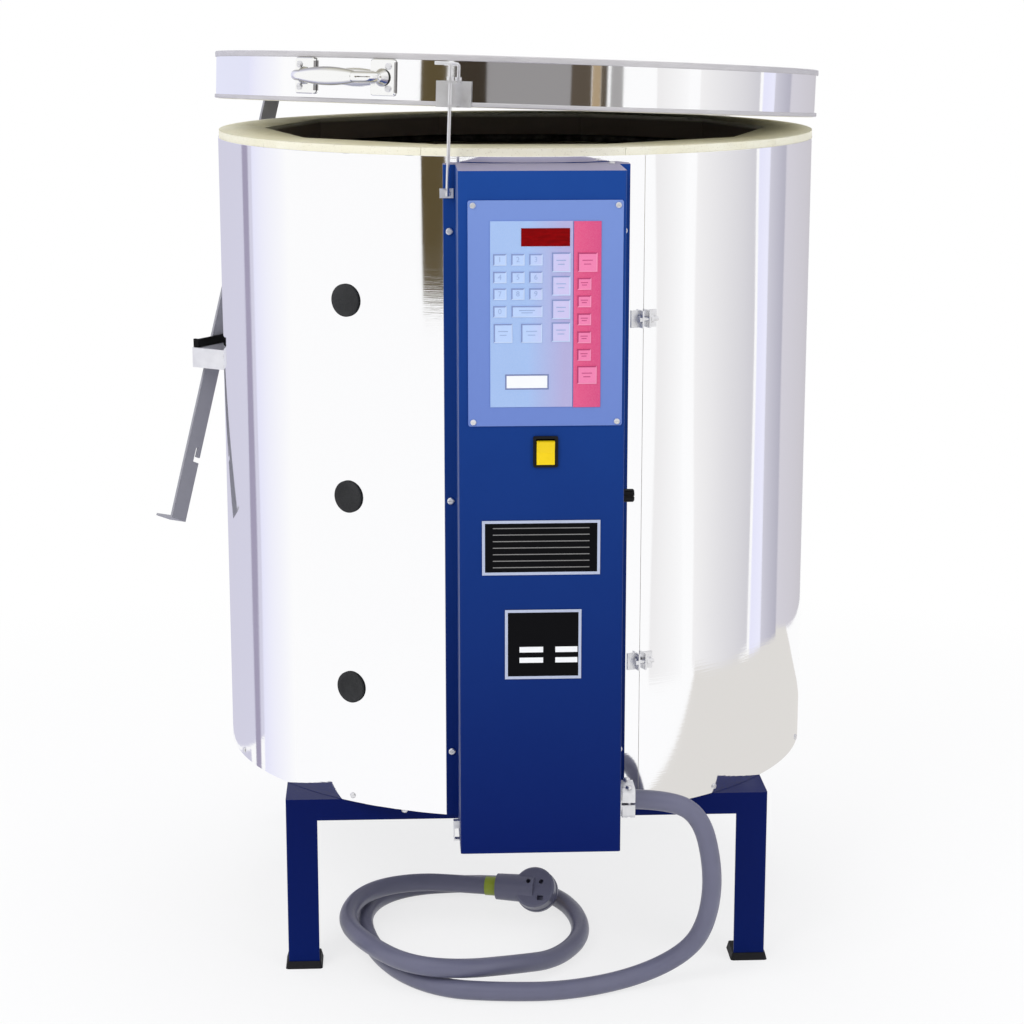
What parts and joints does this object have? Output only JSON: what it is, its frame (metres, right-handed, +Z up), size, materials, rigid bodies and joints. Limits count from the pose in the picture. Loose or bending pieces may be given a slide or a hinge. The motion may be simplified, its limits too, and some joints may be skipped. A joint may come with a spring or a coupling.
{
  "type": "ceramic kiln",
  "caption": "Round top-loading ceramic kiln: polished jacket over a ten-sided brick chamber, hinged lid with prop bar, keypad control box, leg stand and coiled mains cord.",
  "frame": {"origin": "on the floor, under the middle of the object's bounding box without its cord", "axes": "+Z up, the control box faces -Y"},
  "size_m": [0.8529, 0.8839, 1.1116],
  "materials": {
    "band_green": "yellow-green tape",
    "black_nylon": "black nylon",
    "black_plastic": "black moulded plastic",
    "black_rubber": "matt black rubber",
    "brass": "bare brass",
    "chrome": "chrome plated casting",
    "circuit_board": "green laminate",
    "dark_ceramic": "dark matt ceramic",
    "element_wire": "oxidised resistance wire",
    "firebrick": "rough, porous cream brick",
    "grey_paint": "satin grey paint",
    "grey_rubber": "smooth grey cord jacket",
    "insulation": "matt fibre",
    "key_film": "embossed polyester film",
    "label_plate": "black anodised plate with a bright border",
    "light_blue_paint": "satin light blue paint",
    "lilac_film": "printed polyester film",
    "navy_frame": "satin navy paint",
    "navy_paint": "smooth satin navy paint",
    "pink_film": "printed polyester film",
    "pink_keys": "embossed polyester film",
    "polished_steel": "mirror polished stainless sheet",
    "red_window": "dark red clear window",
    "transformer_iron": "varnished laminations",
    "white_ceramic": "glazed ceramic",
    "yellow_plastic": "yellow moulded plastic",
    "zinc_steel": "bright zinc plate"
  },
  "bodies": {
    "kiln_body": {"bare_plates": "label_plate", "base_pan": "zinc_steel", "body_screws": "zinc_steel", "box_back_plate": "navy_paint", "box_cover": "navy_paint", "box_screws": "zinc_steel", "brick_course_rim": "firebrick", "brick_course_upper": "firebrick", "brick_courses_lower": "firebrick", "brick_courses_middle": "firebrick", "ceramic_blocks": "white_ceramic", "controller_board": "circuit_board", "cord_band": "band_green", "cord_clamp": "zinc_steel", "display_window": "red_window", "faceplate": "light_blue_paint", "floor_slab": "firebrick", "function_keys": "pink_keys", "function_strip": "pink_film", "fuse_holder": "black_plastic", "guide_liner": "black_nylon", "heating_elements": "element_wire", "hinge_body_leaf": "zinc_steel", "hinge_pin": "zinc_steel", "insulation_blanket": "insulation", "insulation_board": "insulation", "jacket": "polished_steel", "keypad_overlay": "lilac_film", "number_keys": "key_film", "plug_blades": "brass", "plug_body": "grey_rubber", "power_cord": "grey_rubber", "prop_guide": "zinc_steel", "relays": "black_plastic", "rivets": "zinc_steel", "rod_keeper": "zinc_steel", "rubber_feet": "black_rubber", "seam_clamps": "zinc_steel", "side_clip": "zinc_steel", "stand_frame": "navy_frame", "switch_body": "black_plastic", "terminal_block": "black_plastic", "thermocouple": "white_ceramic", "transformer": "transformer_iron"},
    "lid": {"lid_slab": "firebrick", "lid_band": "polished_steel", "band_clamp": "zinc_steel", "lid_handle": "chrome", "lid_screws": "zinc_steel", "hinge_lid_leaf": "zinc_steel", "prop_pivot": "zinc_steel", "rod_bracket": "zinc_steel"},
    "prop": {"prop_bar": "grey_paint"},
    "lid_rod": {"lock_rod": "zinc_steel"},
    "rocker": {"switch_rocker": "yellow_plastic"},
    "fuse_knob": {"fuse_cap": "black_plastic"},
    "upper_plug": {"peephole_plug_1": "dark_ceramic"},
    "middle_plug": {"peephole_plug_2": "dark_ceramic"},
    "lower_plug": {"peephole_plug_3": "dark_ceramic"}
  },
  "joints": [
    {"name": "lid_hinge", "type": "hinge", "parent": "kiln_body", "child": "lid", "pos_m": [0.2737, 0.3793, 1.01], "axis": [-0.8241, 0.5664, 0], "range_deg": [-3.45, 71.55]},
    {"name": "prop_pivot_hinge", "type": "hinge", "parent": "lid", "child": "prop", "pos_m": [-0.26479, 0.27729, 1.06051], "axis": [-0.8241, 0.5664, 0], "range_deg": [-72, 4.5]},
    {"name": "lid_rod_slide", "type": "slide", "parent": "lid", "child": "lid_rod", "axis": [0.0341, 0.0496, 0.9982], "range_m": [0, 0.03]},
    {"name": "rocker_pivot", "type": "hinge", "parent": "kiln_body", "child": "rocker", "pos_m": [0.0549, -0.4315, 0.6819], "axis": [1, 0, 0], "range_deg": [-18, 0]},
    {"name": "fuse_cap_turn", "type": "hinge", "parent": "kiln_body", "child": "fuse_knob", "pos_m": [0.1425, -0.387, 0.621], "axis": [1, 0, 0], "range_deg": [0, 90]},
    {"name": "upper_plug_slide", "type": "slide", "parent": "kiln_body", "child": "upper_plug", "axis": [-0.5664, -0.8241, 0], "range_m": [0, 0.09]},
    {"name": "middle_plug_slide", "type": "slide", "parent": "kiln_body", "child": "middle_plug", "axis": [-0.5664, -0.8241, 0], "range_m": [0, 0.09]},
    {"name": "lower_plug_slide", "type": "slide", "parent": "kiln_body", "child": "lower_plug", "axis": [-0.5664, -0.8241, 0], "range_m": [0, 0.09]}
  ],
  "couplings": [
    {"joint": "prop_pivot_hinge", "follows": "lid_hinge", "ratio": -1}
  ]
}
